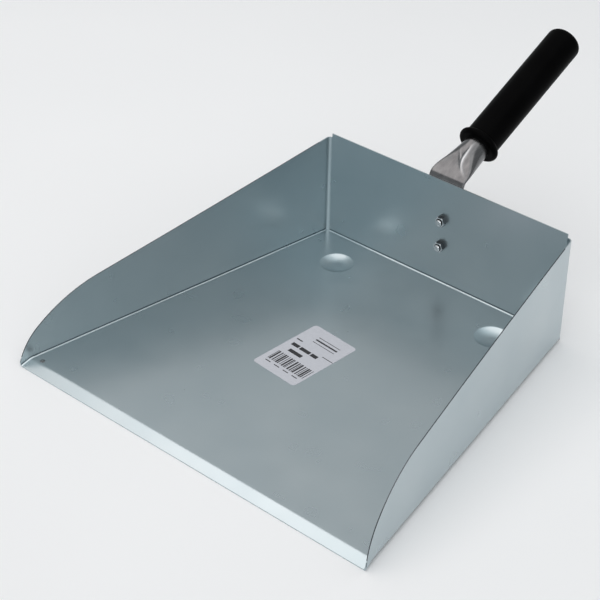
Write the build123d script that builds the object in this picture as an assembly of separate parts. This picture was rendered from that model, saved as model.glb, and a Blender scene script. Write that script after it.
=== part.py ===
from build123d import *
from math import atan, atan2, cos, degrees, pi, radians, sin, sqrt, tan
import os

# Driving dimensions, in millimetres. The pan is drawn with y = 0 at the lip's
# front edge, +Y towards the handle, x = 0 on the centre line and z = 0 on the ground.

# Pan
sheet = 0.8                  # thickness of the steel sheet
pan_depth = 300.0            # from the lip's edge to the outside of the rear tabs
front_width = 336.0          # outside width at the lip
back_width = 236.0           # outside width at the rear
back_height = 96.5           # top of the back wall
side_rear_height = 92.5      # top of a side wall at the rear
nose_length = 70.0           # where a side wall's curved nose ends
nose_height = 55.3           # height of the wall there
nose_start_height = 3.5      # height of the wall at the lip's edge
nose_bend_y = 16.0           # where the nose's two arcs meet
nose_bend_z = 29.8
front_lean = 0.075           # how far a side wall leans inward at the lip's edge, per unit of height
lip_length = 8.5             # bent-down front strip, measured along Y
lip_drop = 3.0               # how far the lip's edge lies below the floor
lip_bend_radius = 8.0        # between the lip and the floor, on the underside
lip_bend_steps = 3           # spans between the sections of that bend
bend_inner_radius = 1.6      # fold between the floor and a wall
tab_bend_radius = 4.0        # outside of the fold from a side wall into its rear tab
tab_length = 18.0            # flat part of a rear tab
corner_gap = 0.3             # from the back wall's edge to the start of a tab's fold

# Pressed feet and corner hole
foot_spacing = 156.0         # between the two feet, along X
foot_y = 264.0
foot_rim_diameter = 29.0
foot_flat_diameter = 6.0
foot_rim_radius = 2.5        # of the rounding around a foot's rim
corner_hole_diameter = 4.0
corner_hole_x = -156.0       # there is a hole in the left-hand corner only
corner_hole_y = 12.2

# Fasteners
bolt_diameter = 5.0
bolt_hole_diameter = 5.6
lower_bolt_z = 37.5
bolt_spacing = 23.5
nut_across_flats = 8.0
nut_thickness = 4.0
bolt_tip = 1.6               # how far a bolt stands out of its nut
bolt_head_diameter = 9.5
bolt_head_height = 3.2
bolt_head_crown = 1.6        # height of the head's rounded top
bolt_slot_width = 1.2        # each arm of the cross recess
bolt_slot_depth = 1.6
bolt_chamfer = 0.7
nut_chamfer = 0.5            # at the corners of a nut's outer face
nut_countersink = 0.6        # at the mouth of its bore
nut_clearance = 0.05

# Handle
tube_diameter = 22.0
tube_wall = 1.2
handle_slope = 23.4          # of the tube above the horizontal, in degrees
foot_bottom_z = 27.0
foot_corner_radius = 7.0
knee_height = 99.0           # where the foot's middle plane would meet its sloping stretch
knee_radius = 6.0            # of the foot's middle plane
transition_length = 34.0     # from the knee to the full round tube
transition_steps = 5         # spans between the sections of that stretch
tube_drop = 4.4              # how far the tube's axis lies below the line of its flat foot
round_seam = 1.5             # half the length of the arcs that match an oval's flat sides
least_hollow = 1.0           # the tube counts as closed where its hollow is lower than this
grip_start = 35.6            # from the knee to the grip's collar, along the tube
grip_length = 129.5
grip_diameter = 29.2
collar_thickness = 6.0
grip_end_radius = 6.0
grip_dome_radius = 40.0
grip_clearance = 0.05        # between the sleeve and the tube
tube_end_gap = 5.0           # plastic between the tube's end and the end of the grip

# Label
label_length = 67.5
label_width = 44.5
label_thickness = 0.12
label_corner_radius = 3.0
label_x = -14.0
label_y = 150.0
label_turn = -5.0             # about Z, in degrees

# Values worked out from the dimensions above
half_front = front_width / 2
half_back = back_width / 2
taper = (half_front - half_back) / pan_depth
taper_angle = atan2(half_front - half_back, pan_depth)
bend_outer_radius = bend_inner_radius + sheet
lip_angle = atan(lip_drop / lip_length)
lip_bend_end = lip_length + lip_bend_radius * tan(lip_angle / 2)
floor_bottom = lip_drop
floor_top = floor_bottom + sheet
back_outside = pan_depth - sheet
back_inside = back_outside - sheet
tab_centre_y = pan_depth - tab_bend_radius
tab_centre_x = half_front - taper * tab_centre_y - tab_bend_radius / cos(taper_angle)
channel_end = tab_centre_y + tab_bend_radius * sin(taper_angle)
foot_thickness = 2 * tube_wall
foot_width = (pi * tube_diameter - (pi - 2) * foot_thickness) / 2
foot_middle_y = back_outside + foot_thickness / 2
handle_angle = radians(handle_slope)
knee_angle = pi / 2 - handle_angle
knee_start_z = knee_height - knee_radius * tan(knee_angle / 2)
knee_end_y = foot_middle_y + knee_radius * (1 - cos(knee_angle))
knee_end_z = knee_start_z + knee_radius * sin(knee_angle)
bolt_heights = [lower_bolt_z, lower_bolt_z + bolt_spacing]
beyond = 4 * sheet           # how far a cutting shape reaches past what it cuts


def floor_edge(y):
    """Half the width of the flat floor at a distance y behind the lip's edge."""
    return half_front - taper * y - bend_outer_radius


def wall_section(y, bottom):
    """Cross-section of the right side wall and the fold at its foot, y behind the lip's edge."""
    lean = front_lean * (1 - y / channel_end)
    turn = atan(lean)
    fold_x = floor_edge(y)
    fold_z = bottom + bend_outer_radius
    outer_x = fold_x + bend_outer_radius * cos(turn)
    outer_z = fold_z + bend_outer_radius * sin(turn)
    inner_x = fold_x + bend_inner_radius * cos(turn)
    inner_z = fold_z + bend_inner_radius * sin(turn)
    outer_top = outer_x - lean * (back_height - outer_z)
    inner_top = inner_x - lean * (back_height - inner_z)
    sweep_angle = 90 + degrees(turn)
    edges = [
        Line((fold_x, bottom), (fold_x, bottom + sheet)),
        CenterArc((fold_x, fold_z), bend_inner_radius, -90, sweep_angle),
        Polyline((inner_x, inner_z), (inner_top, back_height), (outer_top, back_height),
                 (outer_x, outer_z)),
        CenterArc((fold_x, fold_z), bend_outer_radius, -90, sweep_angle),
    ]
    return Plane.XZ.offset(-y) * make_face(edges)


def side_outline():
    """Side view of the walls: a curved nose, then a straight edge rising to the rear."""
    rise = side_rear_height - nose_height
    run = channel_end - nose_length
    start = (0, nose_start_height)
    bend = (nose_bend_y, nose_bend_z)
    end = (nose_length, nose_height)
    upper_nose = TangentArc(end, bend, tangent=(-run, -rise))
    lower_nose = TangentArc(bend, start, tangent=upper_nose % 1)
    rest = Polyline(end, (channel_end, side_rear_height), (channel_end, -beyond), (0, -beyond), start)
    return Plane.YZ * make_face([upper_nose, lower_nose, rest])


def floor_section(y, bottom):
    """Cross-section of the floor or the lip, between the side walls' folds."""
    outline = Rectangle(2 * floor_edge(y), sheet, align=(Align.CENTER, Align.MIN))
    return Plane.XZ.offset(-y) * Pos(0, bottom) * outline


def bent_strip(section):
    """What section(y, bottom) draws, along the straight slope of the lip and its bend."""
    bend = []
    for step in range(lip_bend_steps + 1):
        angle = lip_angle * (1 - step / lip_bend_steps)
        y = lip_bend_end - lip_bend_radius * sin(angle)
        bend.append(section(y, floor_bottom - lip_bend_radius * (1 - cos(angle))))
    return loft([section(0, 0), bend[0]], ruled=True) + loft(bend)


def side_wall():
    """The right side wall with its fold, beside both the lip and the floor."""
    ends = [wall_section(lip_bend_end, floor_bottom), wall_section(channel_end, floor_bottom)]
    wall = bent_strip(wall_section) + loft(ends, ruled=True)
    return wall & extrude(side_outline(), amount=front_width)


def back_wall():
    """The wall folded up from the rear of the floor."""
    radius = back_outside - channel_end
    fold_z = floor_bottom + radius
    fold_centre = (channel_end, fold_z)
    edges = [
        CenterArc(fold_centre, radius, -90, 90),
        Polyline((back_outside, fold_z), (back_outside, back_height), (back_inside, back_height),
                 (back_inside, fold_z)),
        CenterArc(fold_centre, radius - sheet, -90, 90),
        Line((channel_end, floor_top), (channel_end, floor_bottom)),
    ]
    return extrude(Plane.YZ * make_face(edges), amount=tab_centre_x - corner_gap, both=True)


def rear_tab():
    """The right side wall's tab, folded in behind the back wall, and the flat corner that it closes."""
    inner_radius = tab_bend_radius - sheet
    centre = (tab_centre_x, tab_centre_y)
    start = degrees(taper_angle)
    sweep_angle = 90 - start
    outer = CenterArc(centre, tab_bend_radius, start, sweep_angle)
    inner = CenterArc(centre, inner_radius, start, sweep_angle)
    tab_end = tab_centre_x - tab_length
    edges = [
        outer,
        Polyline(outer @ 1, (tab_end, pan_depth), (tab_end, back_outside), inner @ 1),
        inner,
        Line(inner @ 0, outer @ 0),
    ]
    seam = tab_centre_x - 2 * corner_gap
    corner_edges = [outer, Polyline(outer @ 1, (seam, pan_depth), (seam, tab_centre_y), outer @ 0)]
    level = Plane.XY.offset(floor_bottom)
    tab = extrude(level * make_face(edges), amount=side_rear_height - floor_bottom)
    return tab + extrude(level * make_face(corner_edges), amount=sheet)


def pressed_foot():
    """A round dish pressed down from the floor, with a flat bottom on the ground."""
    rim = foot_rim_diameter / 2
    flat = foot_flat_diameter / 2
    turn = 2 * atan(lip_drop / (rim - flat))
    meet_x = rim - foot_rim_radius * sin(turn)
    meet_drop = foot_rim_radius * (1 - cos(turn))
    edges = [Line((rim, floor_bottom), (rim, floor_top)),
             Polyline((flat, sheet), (0, sheet), (0, 0), (flat, 0))]
    for skin in (floor_bottom, floor_top):
        meet = (meet_x, skin - meet_drop)
        edges.append(TangentArc((rim, skin), meet, tangent=(-1, 0)))
        edges.append(TangentArc((flat, skin - lip_drop), meet, tangent=(1, 0)))
    return revolve(Plane.XZ * make_face(edges), axis=Axis.Z)


def floor():
    """The flat floor, with its two pressed feet and the corner hole."""
    front = floor_edge(lip_bend_end)
    rear = floor_edge(channel_end)
    corners = [(-front, lip_bend_end), (front, lip_bend_end), (rear, channel_end), (-rear, channel_end)]
    body = Pos(0, 0, floor_bottom) * extrude(make_face(Polyline(*corners, close=True)), amount=sheet)
    foot = pressed_foot()
    for side in (-1, 1):
        foot_place = Pos(side * foot_spacing / 2, foot_y, 0)
        body -= foot_place * Pos(0, 0, floor_bottom) * Cylinder(foot_rim_diameter / 2, beyond)
        body += foot_place * foot
    hole_place = Pos(corner_hole_x, corner_hole_y, floor_bottom)
    return body - hole_place * Cylinder(corner_hole_diameter / 2, beyond)


def along_y(radius, length, z, y):
    """A cylinder along Y on the centre line, from y to y + length."""
    return Plane((0, y, z), x_dir=(1, 0, 0), z_dir=(0, 1, 0)) * Cylinder(
        radius, length, align=(Align.CENTER, Align.CENTER, Align.MIN))


def pan():
    """The whole folded sheet."""
    rear = back_wall()
    for z in bolt_heights:
        rear -= along_y(bolt_hole_diameter / 2, beyond, z, back_inside - sheet)
    side = side_wall() + rear_tab()
    return floor() + bent_strip(floor_section) + side + mirror(side, Plane.YZ) + rear


def oval(width, height):
    """A face with flat sides and half-round ends, or a circle cut into four matching arcs."""
    radius = height / 2
    straight = (width - height) / 2
    if straight > round_seam:
        x = straight
        y = radius
        upper = Line((-x, y), (x, y))
        lower = Line((x, -y), (-x, -y))
    else:
        x = round_seam
        y = sqrt(radius ** 2 - x ** 2)
        upper = ThreePointArc((-x, y), (0, radius), (x, y))
        lower = ThreePointArc((x, -y), (0, -radius), (-x, -y))
    right = ThreePointArc((x, y), (width / 2, 0), (x, -y))
    left = ThreePointArc((-x, -y), (-width / 2, 0), (-x, y))
    return make_face([upper, right, lower, left])


def handle_plane(distance, drop):
    """A plane across the handle, at a distance past the knee and below the foot's line."""
    y = knee_end_y + distance * cos(handle_angle) + drop * sin(handle_angle)
    z = knee_end_z + distance * sin(handle_angle) - drop * cos(handle_angle)
    return Plane((0, y, z), x_dir=(1, 0, 0), z_dir=(0, cos(handle_angle), sin(handle_angle)))


def transition(inset):
    """The stretch where the tube opens from its flat foot to a circle, inset from its skin."""
    sections = []
    for step in range(transition_steps + 1):
        part = step / transition_steps
        blend = part * part * (3 - 2 * part)
        width = foot_width + (tube_diameter - foot_width) * blend
        height = (pi * tube_diameter - 2 * width) / (pi - 2)
        if height - 2 * inset > least_hollow or inset == 0:
            place = handle_plane(transition_length * part, tube_drop * blend)
            sections.append(place * oval(width - 2 * inset, height - 2 * inset))
    return loft(sections)


def handle_foot():
    """The flattened end, flat against the back wall, with its knee."""
    flat_section = Pos(0, foot_middle_y, knee_start_z) * oval(foot_width, foot_thickness)
    plate_height = knee_start_z - foot_bottom_z
    plate = extrude(flat_section, amount=-plate_height)
    front_view = RectangleRounded(foot_width, 2 * plate_height, foot_corner_radius)
    outline = Plane.XZ * Pos(0, foot_bottom_z + plate_height) * front_view
    plate = plate & extrude(outline, amount=2 * pan_depth, both=True)
    knee_axis = Axis((0, foot_middle_y + knee_radius, knee_start_z), (-1, 0, 0))
    return plate + revolve(flat_section, axis=knee_axis, revolution_arc=90 - handle_slope)


def handle_tube():
    """Flattened foot, transition and round tube, hollow from the transition on."""
    round_place = handle_plane(transition_length, tube_drop)
    round_length = grip_start + grip_length - tube_end_gap - transition_length
    body = handle_foot() + transition(0)
    body += extrude(round_place * Circle(tube_diameter / 2), amount=round_length)
    body -= transition(tube_wall)
    body -= extrude(round_place * Circle(tube_diameter / 2 - tube_wall), amount=round_length)
    for z in bolt_heights:
        body -= along_y(bolt_hole_diameter / 2, beyond + foot_thickness, z, back_outside - sheet)
    return body


def grip():
    """Plastic sleeve with a round-rimmed collar and a closed, slightly domed end."""
    bore = tube_diameter / 2 + grip_clearance
    body = grip_diameter / 2
    end = grip_length
    dome_edge = end - grip_dome_radius + sqrt(grip_dome_radius ** 2 - body ** 2)
    floor = end - tube_end_gap
    edges = [
        Line((bore, 0), (body, 0)),
        CenterArc((body, collar_thickness / 2), collar_thickness / 2, -90, 180),
        Line((body, collar_thickness), (body, dome_edge)),
        RadiusArc((body, dome_edge), (0, end), -grip_dome_radius),
        Polyline((0, end), (0, floor), (bore, floor), (bore, 0)),
    ]
    profile = make_face(edges)
    rim = profile.vertices().sort_by_distance((body, dome_edge))[0]
    profile = fillet(rim, grip_end_radius)
    across = handle_plane(grip_start, tube_drop)
    lengthwise = Plane(across.origin, x_dir=(1, 0, 0), z_dir=-across.y_dir)
    return revolve(lengthwise * profile, axis=Axis(across.origin, across.z_dir))


def bolt(z):
    """A pan-head bolt along Y, its head on the handle's foot and its tip inside the pan."""
    head_radius = bolt_head_diameter / 2
    seat = back_outside + foot_thickness
    tip = back_inside - nut_thickness - bolt_tip
    top = seat + bolt_head_height
    shoulder = top - bolt_head_crown
    head = [
        Polyline((0, seat), (head_radius, seat), (head_radius, shoulder)),
        TangentArc((0, top), (head_radius, shoulder), tangent=(1, 0)),
        Line((0, top), (0, seat)),
    ]
    body = revolve(Plane.XY * make_face(head), axis=Axis.Y)
    for turn in (0, 90):
        slot = Box(head_radius, 2 * bolt_slot_depth, bolt_slot_width)
        body -= Pos(0, top, 0) * Rot(0, turn, 0) * slot
    shank = along_y(bolt_diameter / 2, seat - tip, 0, tip)
    shank = chamfer(shank.edges().sort_by(Axis.Y)[0], bolt_chamfer)
    return Pos(0, 0, z) * (body + shank)


def nut(z):
    """A hexagon nut against the inside of the back wall, its outer corners chamfered."""
    half_flats = nut_across_flats / 2
    corner = half_flats / cos(pi / 6)
    place = Plane((0, back_inside, z), x_dir=(1, 0, 0), z_dir=(0, -1, 0))
    body = extrude(RegularPolygon(half_flats, 6, major_radius=False), amount=nut_thickness)
    rounding = Cylinder(corner, nut_thickness, align=(Align.CENTER, Align.CENTER, Align.MIN))
    rounding = chamfer(rounding.edges().sort_by(Axis.Z)[-1], nut_chamfer)
    bore_radius = bolt_diameter / 2 + nut_clearance
    bore = Cylinder(bore_radius, 2 * nut_thickness + beyond)
    mouth = Cone(bore_radius, bore_radius + 2 * nut_countersink, 2 * nut_countersink)
    mouth = Pos(0, 0, nut_thickness) * mouth
    return place * ((body & rounding) - bore - mouth)


def label():
    """A thin paper label with round corners, stuck on the floor."""
    outline = RectangleRounded(label_width, label_length, label_corner_radius)
    place = Pos(label_x, label_y, floor_top) * Rot(0, 0, label_turn)
    return place * extrude(outline, amount=label_thickness)


def group(shapes):
    """Several separate solids as one shape."""
    return Compound(list(shapes))


parts = {
    "pan_sheet": pan(),
    "handle_tube": handle_tube(),
    "grip_sleeve": grip(),
    "handle_bolts": group(bolt(z) for z in bolt_heights),
    "handle_nuts": group(nut(z) for z in bolt_heights),
    "label_sticker": label(),
}

# The part's own origin is at the middle of its base.
box = group(parts.values()).bounding_box()
to_origin = Pos(-(box.min.X + box.max.X) / 2, -(box.min.Y + box.max.Y) / 2, -box.min.Z)

os.makedirs("parts", exist_ok=True)
for name, shape in parts.items():
    export_step(to_origin * shape, "parts/" + name + ".step")
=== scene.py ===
from math import cos, exp, pi, radians, sin, sqrt

import bmesh
import bpy
from mathutils import Matrix, Vector


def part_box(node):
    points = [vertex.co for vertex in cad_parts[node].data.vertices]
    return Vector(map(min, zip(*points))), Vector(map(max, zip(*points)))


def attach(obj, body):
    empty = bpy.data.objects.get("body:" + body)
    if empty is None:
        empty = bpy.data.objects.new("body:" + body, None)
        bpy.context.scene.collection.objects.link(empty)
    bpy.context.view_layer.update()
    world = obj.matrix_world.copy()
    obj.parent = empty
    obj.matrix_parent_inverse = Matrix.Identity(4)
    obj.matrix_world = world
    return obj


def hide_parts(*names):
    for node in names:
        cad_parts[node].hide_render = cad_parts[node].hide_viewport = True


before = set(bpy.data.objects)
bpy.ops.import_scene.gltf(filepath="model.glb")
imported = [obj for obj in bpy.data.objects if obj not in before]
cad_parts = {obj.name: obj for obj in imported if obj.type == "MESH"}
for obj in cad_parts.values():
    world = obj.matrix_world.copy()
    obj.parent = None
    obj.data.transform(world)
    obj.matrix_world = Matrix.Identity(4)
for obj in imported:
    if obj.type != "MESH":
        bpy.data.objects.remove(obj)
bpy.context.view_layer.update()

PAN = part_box("pan_sheet")
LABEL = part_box("label_sticker")
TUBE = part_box("handle_tube")

# Camera, in metres and degrees, with its lens and sensor in millimetres
CAMERA_AZIMUTH = 40.44       # from straight ahead of the lip, towards +X
CAMERA_ELEVATION = 34.47
CAMERA_ROLL = 0.84
CAMERA_DISTANCE = 1.3375
CAMERA_TARGET = Vector((-0.0403, -0.0561, 0.030))
CAMERA_LENS = 104.6
CAMERA_SENSOR = 36


# ---------------------------------------------------------------- node helpers

def new_material(name):
    """A node material with its Principled shader, as (material, tree, shader)."""
    material = bpy.data.materials.new(name)
    material.use_nodes = True
    tree = material.node_tree
    return material, tree, tree.nodes["Principled BSDF"]


def object_coords(tree, scale=(1, 1, 1), turn=(0, 0, 0)):
    """The place on the object in metres, scaled and then turned."""
    coords = tree.nodes.new("ShaderNodeTexCoord")
    mapping = tree.nodes.new("ShaderNodeMapping")
    mapping.inputs["Scale"].default_value = scale
    mapping.inputs["Rotation"].default_value = turn
    tree.links.new(coords.outputs["Object"], mapping.inputs["Vector"])
    return mapping.outputs["Vector"]


def noise(tree, vector, scale, detail, roughness=0.5):
    node = tree.nodes.new("ShaderNodeTexNoise")
    node.inputs["Scale"].default_value = scale
    node.inputs["Detail"].default_value = detail
    node.inputs["Roughness"].default_value = roughness
    tree.links.new(vector, node.inputs["Vector"])
    return node.outputs["Fac"]


def ramp(tree, value, stops):
    """A colour ramp through (position, colour) stops."""
    node = tree.nodes.new("ShaderNodeValToRGB")
    elements = node.color_ramp.elements
    while len(elements) < len(stops):
        elements.new(0.5)
    for element, (position, colour) in zip(elements, stops):
        element.position = position
        element.color = (*colour, 1)
    tree.links.new(value, node.inputs["Fac"])
    return node.outputs["Color"]


def spread(tree, value, low, high, from_low=0.3, from_high=0.7):
    """Maps a noise value onto low to high."""
    node = tree.nodes.new("ShaderNodeMapRange")
    node.inputs["From Min"].default_value = from_low
    node.inputs["From Max"].default_value = from_high
    node.inputs["To Min"].default_value = low
    node.inputs["To Max"].default_value = high
    tree.links.new(value, node.inputs["Value"])
    return node.outputs["Result"]


def bump(tree, height, distance, strength):
    node = tree.nodes.new("ShaderNodeBump")
    node.inputs["Strength"].default_value = strength
    node.inputs["Distance"].default_value = distance
    tree.links.new(height, node.inputs["Height"])
    return node.outputs["Normal"]


def mixed(tree, factor, colour_a, colour_b):
    """Colour a where the factor is 0 and colour b where it is 1."""
    node = tree.nodes.new("ShaderNodeMix")
    node.data_type = "RGBA"
    tree.links.new(factor, node.inputs["Factor"])
    for socket, colour in ((node.inputs["A"], colour_a), (node.inputs["B"], colour_b)):
        if isinstance(colour, tuple):
            socket.default_value = colour
        else:
            tree.links.new(colour, socket)
    return node.outputs["Result"]


def compare(tree, operation, value, limit):
    """1 where the value is above or below a limit, and 0 elsewhere."""
    node = tree.nodes.new("ShaderNodeMath")
    node.operation = operation
    tree.links.new(value, node.inputs[0])
    node.inputs[1].default_value = limit
    return node.outputs["Value"]


def product(tree, *values):
    """The values multiplied together."""
    result = values[0]
    for value in values[1:]:
        node = tree.nodes.new("ShaderNodeMath")
        node.operation = "MULTIPLY"
        tree.links.new(result, node.inputs[0])
        tree.links.new(value, node.inputs[1])
        result = node.outputs["Value"]
    return result


def absolute(tree, value):
    node = tree.nodes.new("ShaderNodeMath")
    node.operation = "ABSOLUTE"
    tree.links.new(value, node.inputs[0])
    return node.outputs["Value"]


def axes(tree, vector):
    node = tree.nodes.new("ShaderNodeSeparateXYZ")
    tree.links.new(vector, node.inputs["Vector"])
    return node.outputs["X"], node.outputs["Y"], node.outputs["Z"]


# Parts of the sheet with painted shade in its folds or a dark cut edge, found by the surface's
# normal and by places in metres
EDGE_SIDEWAYS = 0.5          # a cut edge's normal points sideways less than this
EDGE_UPWARD = 0.1            # and upwards more than this
EDGE_BOTTOM = 0.008          # above the ground
EDGE_BACK = 0.012            # ahead of the pan's back
CREASE_UPWARD = (0.12, 0.62)  # upward part of a fold's normal, between the wall's and the floor's
CREASE_TOP = 0.0066          # height of the folds' upper end above the ground


def cut_edge(tree):
    """1 on the raw cut edge along the top of the side walls."""
    geometry = tree.nodes.new("ShaderNodeNewGeometry")
    across, _, rise = axes(tree, geometry.outputs["True Normal"])
    _, y, z = axes(tree, object_coords(tree))
    return product(
        tree,
        compare(tree, "LESS_THAN", absolute(tree, across), EDGE_SIDEWAYS),
        compare(tree, "GREATER_THAN", rise, EDGE_UPWARD),
        compare(tree, "GREATER_THAN", z, PAN[0].z + EDGE_BOTTOM),
        compare(tree, "LESS_THAN", y, PAN[1].y - EDGE_BACK),
    )


def painted_fold_shade(tree):
    """1 on the upper part of the folds between the floor and the walls, where shade is painted as a
    darker colour.
    """
    geometry = tree.nodes.new("ShaderNodeNewGeometry")
    rise = axes(tree, geometry.outputs["Normal"])[2]
    height = axes(tree, object_coords(tree))[2]
    return product(
        tree,
        compare(tree, "GREATER_THAN", rise, CREASE_UPWARD[0]),
        compare(tree, "LESS_THAN", rise, CREASE_UPWARD[1]),
        compare(tree, "LESS_THAN", height, PAN[0].z + CREASE_TOP),
    )


# ------------------------------------------------------------------- materials

PAINTED_RIDGE_HIGHLIGHT = "painted_ridge_highlight"          # vertex value, 0 to 1, of the painted highlight on the handle's pressed ridges
FLANK = 0.35                 # a flank's normal points along the bolt less than this


def galvanised_steel():
    """Zinc-coated sheet: satin, cool grey, faintly cloudy, with painted shade in its folds and dark
    on its cut edges.
    """
    material, tree, shader = new_material("galvanised_steel")
    place = object_coords(tree)
    clouds = noise(tree, place, 14, detail=2)
    zinc = ramp(tree, clouds, [(0.1, (0.470, 0.545, 0.575)), (0.9, (0.560, 0.620, 0.640))])
    # painted shade: the upper part of the folds is darkened in the colour
    with_fold_shade = mixed(tree, painted_fold_shade(tree), zinc, (0.13, 0.17, 0.19, 1))
    colour = mixed(tree, cut_edge(tree), with_fold_shade, (0.10, 0.11, 0.12, 1))
    tree.links.new(colour, shader.inputs["Base Color"])
    shader.inputs["Metallic"].default_value = 1.0
    mottle = noise(tree, place, 45, detail=1)
    tree.links.new(spread(tree, mottle, 0.25, 0.33, 0.0, 1.0), shader.inputs["Roughness"])
    waves = noise(tree, place, 18, detail=0)
    tree.links.new(bump(tree, waves, 0.001, strength=0.16), shader.inputs["Normal"])
    return material


def bare_steel():
    """The handle's uncoated tube, faintly streaked along its length, with a painted highlight on
    its ridges.
    """
    material, tree, shader = new_material("bare_steel")
    place = object_coords(tree, scale=(1, 0.12, 1), turn=(-TUBE_SLOPE, 0, 0))
    streaks = noise(tree, place, 260, detail=2)
    dull = ramp(tree, streaks, [(0.2, (0.125, 0.126, 0.13)), (0.8, (0.215, 0.215, 0.218))])
    painted_ridge_highlight = tree.nodes.new("ShaderNodeAttribute")
    painted_ridge_highlight.attribute_name = PAINTED_RIDGE_HIGHLIGHT
    # painted highlight: the pressed ridges are made bright in the colour
    colour = mixed(tree, painted_ridge_highlight.outputs["Fac"], dull, (0.62, 0.62, 0.63, 1))
    tree.links.new(colour, shader.inputs["Base Color"])
    shader.inputs["Metallic"].default_value = 1.0
    tree.links.new(spread(tree, streaks, 0.20, 0.28, 0.0, 1.0), shader.inputs["Roughness"])
    tree.links.new(bump(tree, streaks, 0.00005, strength=0.15), shader.inputs["Normal"])
    return material


def black_plastic():
    """Satin moulded plastic with a fine grain."""
    material, tree, shader = new_material("black_plastic")
    place = object_coords(tree)
    grain = noise(tree, place, 900, detail=2)
    haze = noise(tree, place, 40, detail=3)
    colour = ramp(tree, haze, [(0.3, (0.0008, 0.0008, 0.0009)), (0.7, (0.0016, 0.0016, 0.0017))])
    tree.links.new(colour, shader.inputs["Base Color"])
    tree.links.new(spread(tree, haze, 0.34, 0.44), shader.inputs["Roughness"])
    shader.inputs["Specular IOR Level"].default_value = 0.02
    tree.links.new(bump(tree, grain, 0.00005, strength=0.4), shader.inputs["Normal"])
    return material


def plated_steel():
    """Zinc-plated bolts and nuts, bright on their ends, with painted shade on their flanks."""
    material, tree, shader = new_material("plated_steel")
    place = object_coords(tree)
    spots = noise(tree, place, 500, detail=3)
    bright = ramp(tree, spots, [(0.3, (0.72, 0.74, 0.76)), (0.7, (0.92, 0.93, 0.94))])
    geometry = tree.nodes.new("ShaderNodeNewGeometry")
    along = axes(tree, geometry.outputs["True Normal"])[1]
    flank = compare(tree, "LESS_THAN", absolute(tree, along), FLANK)
    # painted shade: the flanks of the bolts and nuts are darkened in the colour
    colour = mixed(tree, flank, bright, (0.09, 0.095, 0.10, 1))
    tree.links.new(colour, shader.inputs["Base Color"])
    shader.inputs["Metallic"].default_value = 1.0
    tree.links.new(spread(tree, spots, 0.10, 0.22), shader.inputs["Roughness"])
    return material


def label_paper():
    """Pale coated paper."""
    material, tree, shader = new_material("label_paper")
    place = object_coords(tree)
    fibres = noise(tree, place, 600, detail=4, roughness=0.7)
    colour = ramp(tree, fibres, [(0.2, (0.53, 0.54, 0.585)), (0.8, (0.60, 0.61, 0.655))])
    tree.links.new(colour, shader.inputs["Base Color"])
    shader.inputs["Roughness"].default_value = 0.5
    tree.links.new(bump(tree, fibres, 0.00003, strength=0.5), shader.inputs["Normal"])
    return material


def printing_ink():
    """Matt black ink, faintly worn."""
    material, tree, shader = new_material("printing_ink")
    place = object_coords(tree)
    wear = noise(tree, place, 1500, detail=2)
    colour = ramp(tree, wear, [(0.3, (0.010, 0.010, 0.012)), (0.7, (0.035, 0.035, 0.04))])
    tree.links.new(colour, shader.inputs["Base Color"])
    shader.inputs["Roughness"].default_value = 0.55
    return material


def pale_floor():
    """The near-white ground that the pan stands on."""
    material, tree, shader = new_material("pale_floor")
    place = object_coords(tree)
    mottle = noise(tree, place, 3, detail=2)
    colour = ramp(tree, mottle, [(0.3, (0.925, 0.925, 0.93)), (0.7, (0.945, 0.945, 0.95))])
    tree.links.new(colour, shader.inputs["Base Color"])
    shader.inputs["Roughness"].default_value = 0.9
    shader.inputs["Specular IOR Level"].default_value = 0.1
    return material


def dress(obj, material):
    """Gives an object one material."""
    obj.data.materials.clear()
    obj.data.materials.append(material)


# ---------------------------------------------------------------------- pieces

SHARP_ANGLE = radians(50)    # edges sharper than this stay sharp on a smooth piece


def mesh_piece(name, fill, material, smooth=False):
    """A new piece riding on the root, its mesh made by fill(bm)."""
    bm = bmesh.new()
    fill(bm)
    bmesh.ops.recalc_face_normals(bm, faces=bm.faces)
    mesh = bpy.data.meshes.new(name)
    bm.to_mesh(mesh)
    bm.free()
    if smooth:
        mesh.shade_smooth()
        mesh.set_sharp_from_angle(angle=SHARP_ANGLE)
    obj = bpy.data.objects.new(name, mesh)
    bpy.context.scene.collection.objects.link(obj)
    dress(obj, material)
    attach(obj, "root")
    return obj


# Label, in metres from its centre and turned with it
LABEL_TURN = radians(-5)
PRINT_HEIGHT = 0.00002
TEXT_LEFT = -0.0175
HEADING_X = 0.003            # middle of the three bars across the top
HEADING_WIDTH = 0.0225
WORD_LENGTH = 0.0036
WORD_GAP = 0.0012
STRIPES = 19
STRIPE_LENGTH = 0.0125
STRIPE_THIN = 0.0006
STRIPE_STEP = 0.0005         # added once or twice for the wider stripes
GAP_THIN = 0.0005
GAP_STEP = 0.0003            # added up to three times for the wider gaps
GROUPS = 4                   # short bars below the stripes
GROUP_PITCH = 0.0095


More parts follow.
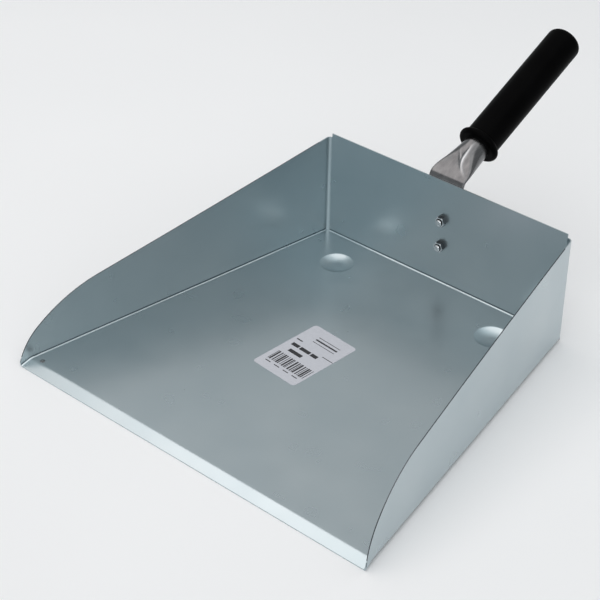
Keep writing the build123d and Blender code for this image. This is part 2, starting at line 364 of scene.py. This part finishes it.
def label_print(bm):
    """Plain bars in place of the label's print, and a block of stripes."""
    centre = (LABEL[0] + LABEL[1]) / 2
    top = LABEL[1].z

    def bar(x, y, width, length):
        """A thin block with its middle at x, y; it has no underside, which the label covers."""
        corners = []
        for side_x, side_y in ((-1, -1), (1, -1), (1, 1), (-1, 1)):
            local = Vector((x + side_x * width / 2, y + side_y * length / 2))
            local.rotate(Matrix.Rotation(LABEL_TURN, 2))
            corners.append((centre.x + local.x, centre.y + local.y))
        low = [bm.verts.new((*corner, top)) for corner in corners]
        high = [bm.verts.new((*corner, top + PRINT_HEIGHT)) for corner in corners]
        bm.faces.new(high)
        for i in range(4):
            bm.faces.new((low[i], low[(i + 1) % 4], high[(i + 1) % 4], high[i]))

    bar(-0.0165, 0.0105, 0.006, 0.0012)
    for y, length in ((0.0200, 0.0016), (0.0235, 0.0006), (0.0165, 0.0006)):
        bar(HEADING_X, y, HEADING_WIDTH, length)
    bar(0.0165, 0.0075, 0.011, 0.0007)
    x = TEXT_LEFT
    for word in (0.0075, 0.0105, 0.0065):
        bar(x + word / 2, 0.0035, word, WORD_LENGTH)
        x += word + WORD_GAP
    bar(-0.0065, -0.0040, 0.0135, WORD_LENGTH)
    x = TEXT_LEFT
    for stripe in range(STRIPES):
        width = STRIPE_THIN + STRIPE_STEP * (stripe * 5 % 3)
        bar(x + width / 2, -0.0165, width, STRIPE_LENGTH)
        x += width + GAP_THIN + GAP_STEP * (stripe * 3 % 4)
    for group in range(GROUPS):
        bar(-0.014 + GROUP_PITCH * group, -0.0255, 0.0055, 0.0009)


# Handle tube, in metres. Its transition runs from the end of the knee to the full round tube.
TUBE_RADIUS = 0.011
FOOT_THICKNESS = 0.0024      # two walls of the tube pressed together
FOOT_CORNER = 0.007          # radius
KNEE_START = 0.09506         # height where the flat foot starts to bend
KNEE_RADIUS = 0.006
TUBE_SLOPE = radians(23.4)   # above the horizontal
TRANSITION = 0.034           # length along the tube
TUBE_DROP = 0.0044           # of the tube's axis below the line of its foot
TUBE_POINTS = 128            # around each ring
CORNER_STEPS = 10            # rings in each stretch
KNEE_STEPS = 8
TRANSITION_STEPS = 48
SIDE_FADE = 4                # ridges and dent are full from 1/4 of a ring's height above its middle
DENT_DEPTH = 0.0014
RIDGE_HEIGHT = 0.0007


def oval_point(width, height, fraction):
    """The point at a fraction of the way round a flat-sided oval, from the middle of its top."""
    straight = width - height
    arc = pi * height / 2
    run = fraction * 2 * (straight + arc) + straight / 2
    radius = height / 2
    if run < straight:
        return run - straight / 2, radius
    if run < straight + arc:
        angle = pi / 2 - (run - straight) / radius
        return straight / 2 + radius * cos(angle), radius * sin(angle)
    if run < 2 * straight + arc:
        return straight / 2 - (run - straight - arc), -radius
    if run < 2 * (straight + arc):
        angle = -pi / 2 - (run - 2 * straight - arc) / radius
        return -straight / 2 + radius * cos(angle), radius * sin(angle)
    return run - 2 * (straight + arc) - straight / 2, radius


def bell(value, middle, width):
    """1 at the middle, falling off to both sides."""
    return exp(-((value - middle) / width) ** 2)


def pressed_ridges(across, part):
    """Strength of the two ridges on the transition's top; across is -1 to 1, part 0 to 1."""
    # where each ridge's top lies; both start from the same place near the foot's right end
    left = 0.9 - 2.2 * part + 0.45 * part ** 2
    right = 0.15 + 0.75 * max(0, 1 - part / 0.5) ** 2 + 0.3 * max(0, part - 0.5)
    left_ridge = 0.6 * bell(across, left, width=0.07) * bell(part, middle=0.25, width=0.30)
    right_ridge = bell(across, right, width=0.09) * bell(part, middle=0.5, width=0.45)
    return max(left_ridge, right_ridge)


def pressed_dent(across, part):
    """Strength of the dent beside the ridges, deepest short of halfway up the transition."""
    return bell(across, middle=-0.40, width=0.65) * bell(part, middle=0.42, width=0.26)


def handle_tube(bm):
    """The tube with its flat foot, knee, pressed transition and round stretch."""
    foot_width = TUBE[1].x - TUBE[0].x
    middle = TUBE[0].y + FOOT_THICKNESS / 2
    turn = pi / 2 - TUBE_SLOPE
    along = Vector((0, cos(TUBE_SLOPE), sin(TUBE_SLOPE)))
    above = Vector((0, -sin(TUBE_SLOPE), cos(TUBE_SLOPE)))
    painted_ridge_highlight = bm.verts.layers.float.new(PAINTED_RIDGE_HIGHLIGHT)
    rings = []

    def knee_point(angle):
        """The middle of the tube after a turn by this angle."""
        y = middle + KNEE_RADIUS * (1 - cos(angle))
        return Vector((0, y, KNEE_START + KNEE_RADIUS * sin(angle)))

    def ring(centre, upward, width, height, part=0):
        """One oval of vertices; part is how far up the transition it lies, from 0 to 1."""
        verts = []
        for i in range(TUBE_POINTS):
            x, rise = oval_point(width, height, i / TUBE_POINTS)
            ridges = 0
            if 0 < part < 1 and rise > 0:
                across = 2 * x / width
                fade = min(1, rise / height * SIDE_FADE) * sin(pi * part)
                ridges = fade * pressed_ridges(across, part)
                rise += RIDGE_HEIGHT * ridges - DENT_DEPTH * fade * pressed_dent(across, part)
            vert = bm.verts.new(centre + Vector((x, 0, 0)) + upward * rise)
            # the ridges' strength also sets their painted highlight
            vert[painted_ridge_highlight] = ridges
            verts.append(vert)
        rings.append(verts)

    for step in range(CORNER_STEPS + 1):
        lift = FOOT_CORNER * (1 - cos(pi / 2 * step / CORNER_STEPS))
        inset = FOOT_CORNER - sqrt(FOOT_CORNER ** 2 - (FOOT_CORNER - lift) ** 2)
        centre = Vector((0, middle, TUBE[0].z + lift))
        ring(centre, Vector((0, -1, 0)), foot_width - 2 * inset, FOOT_THICKNESS)
    for step in range(KNEE_STEPS + 1):
        angle = turn * step / KNEE_STEPS
        upward = Vector((0, -cos(angle), sin(angle)))
        ring(knee_point(angle), upward, foot_width, FOOT_THICKNESS)
    for step in range(1, TRANSITION_STEPS + 1):
        part = step / TRANSITION_STEPS
        blend = part * part * (3 - 2 * part)
        width = foot_width + (2 * TUBE_RADIUS - foot_width) * blend
        height = (pi * 2 * TUBE_RADIUS - 2 * width) / (pi - 2)
        centre = knee_point(turn) + along * TRANSITION * part - above * TUBE_DROP * blend
        ring(centre, above, width, height, part)
    end_y = TUBE[1].y - TUBE_RADIUS * sin(TUBE_SLOPE)
    rest = (end_y - centre.y) / along.y
    ring(centre + along * rest, above, 2 * TUBE_RADIUS, 2 * TUBE_RADIUS)

    for lower, upper in zip(rings, rings[1:]):
        for i in range(TUBE_POINTS):
            j = (i + 1) % TUBE_POINTS
            bm.faces.new((lower[i], lower[j], upper[j], upper[i]))
    bm.faces.new(rings[0])
    bm.faces.new(rings[-1])


dress(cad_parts["pan_sheet"], galvanised_steel())
dress(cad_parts["grip_sleeve"], black_plastic())
dress(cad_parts["label_sticker"], label_paper())
plated = plated_steel()
dress(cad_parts["handle_bolts"], plated)
dress(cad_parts["handle_nuts"], plated)

mesh_piece("label_print", label_print, printing_ink())
formed = mesh_piece("handle_tube_formed", handle_tube, bare_steel(), smooth=True)
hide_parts("handle_tube")

# ------------------------------------------------------------- floor and light

FLOOR_SIZE = 14

bpy.ops.mesh.primitive_plane_add(size=FLOOR_SIZE, location=(0, 0, PAN[0].z))
floor = bpy.context.object
floor.name = "floor"
dress(floor, pale_floor())

WORLD_COLOUR = (0.94, 0.98, 1.0, 1)
WORLD_AXIS = (0.69, -0.72, 0.0)      # horizontal, from the object towards the camera's side
WORLD_ACROSS = 0.41                  # brightness at right angles to that axis
WORLD_ALONG = 0.56                   # rise towards both of its ends
WORLD_FRONT = 0.24                   # more towards the camera's side than away from it


def studio_world():
    """A soft surround, brightest on the camera's side."""
    world = bpy.data.worlds.new("studio")
    world.use_nodes = True
    tree = world.node_tree
    shade = tree.nodes["Background"]
    shade.inputs["Color"].default_value = WORLD_COLOUR
    coords = tree.nodes.new("ShaderNodeTexCoord")
    dot = tree.nodes.new("ShaderNodeVectorMath")
    dot.operation = "DOT_PRODUCT"
    tree.links.new(coords.outputs["Generated"], dot.inputs[0])
    dot.inputs[1].default_value = WORLD_AXIS
    slope = tree.nodes.new("ShaderNodeMath")
    slope.operation = "MULTIPLY_ADD"
    tree.links.new(dot.outputs["Value"], slope.inputs[0])
    slope.inputs[1].default_value = WORLD_ALONG
    slope.inputs[2].default_value = WORLD_FRONT
    strength = tree.nodes.new("ShaderNodeMath")
    strength.operation = "MULTIPLY_ADD"
    tree.links.new(slope.outputs["Value"], strength.inputs[0])
    tree.links.new(dot.outputs["Value"], strength.inputs[1])
    strength.inputs[2].default_value = WORLD_ACROSS
    tree.links.new(strength.outputs["Value"], shade.inputs["Strength"])
    return world


bpy.context.scene.world = studio_world()


def softbox(name, size_x, size_y, place, towards, power, colour=(1, 1, 1)):
    """A rectangular light; sizes and places in metres, power in watts."""
    data = bpy.data.lights.new(name, "AREA")
    data.shape = "RECTANGLE"
    data.size = size_x
    data.size_y = size_y
    data.energy = power
    data.color = colour
    light = bpy.data.objects.new(name, data)
    light.location = place
    light.rotation_euler = (Vector(towards) - Vector(place)).to_track_quat("-Z", "Y").to_euler()
    bpy.context.scene.collection.objects.link(light)


softbox("overhead", 2.4, 1.5, place=(-0.2, -0.25, 1.5), towards=(-0.2, -0.25, 0),
        power=12.0, colour=(1.0, 0.98, 0.97))
softbox("strip", 0.35, 1.5, place=(-0.85, -0.25, 1.45), towards=(-0.85, -0.25, 0),
        power=0.75, colour=(1.0, 0.78, 0.72))
softbox("rear", 0.6, 0.7, place=(0.25, 1.2, 1.5), towards=(0.1, 0, 0), power=2.2)

# ---------------------------------------------------------------------- camera

bpy.context.scene.view_settings.view_transform = "Standard"
azimuth = radians(CAMERA_AZIMUTH)
elevation = radians(CAMERA_ELEVATION)
back = Vector((sin(azimuth) * cos(elevation), -cos(azimuth) * cos(elevation), sin(elevation)))
right = Vector((cos(azimuth), sin(azimuth), 0))
up = back.cross(right)
aim = Matrix((right, up, back)).transposed() @ Matrix.Rotation(radians(CAMERA_ROLL), 3, "Z")
camera_data = bpy.data.cameras.new("camera")
camera_data.lens = CAMERA_LENS
camera_data.sensor_width = CAMERA_SENSOR
camera = bpy.data.objects.new("camera", camera_data)
camera.matrix_world = Matrix.Translation(CAMERA_TARGET + back * CAMERA_DISTANCE) @ aim.to_4x4()
bpy.context.scene.collection.objects.link(camera)
bpy.context.scene.camera = camera
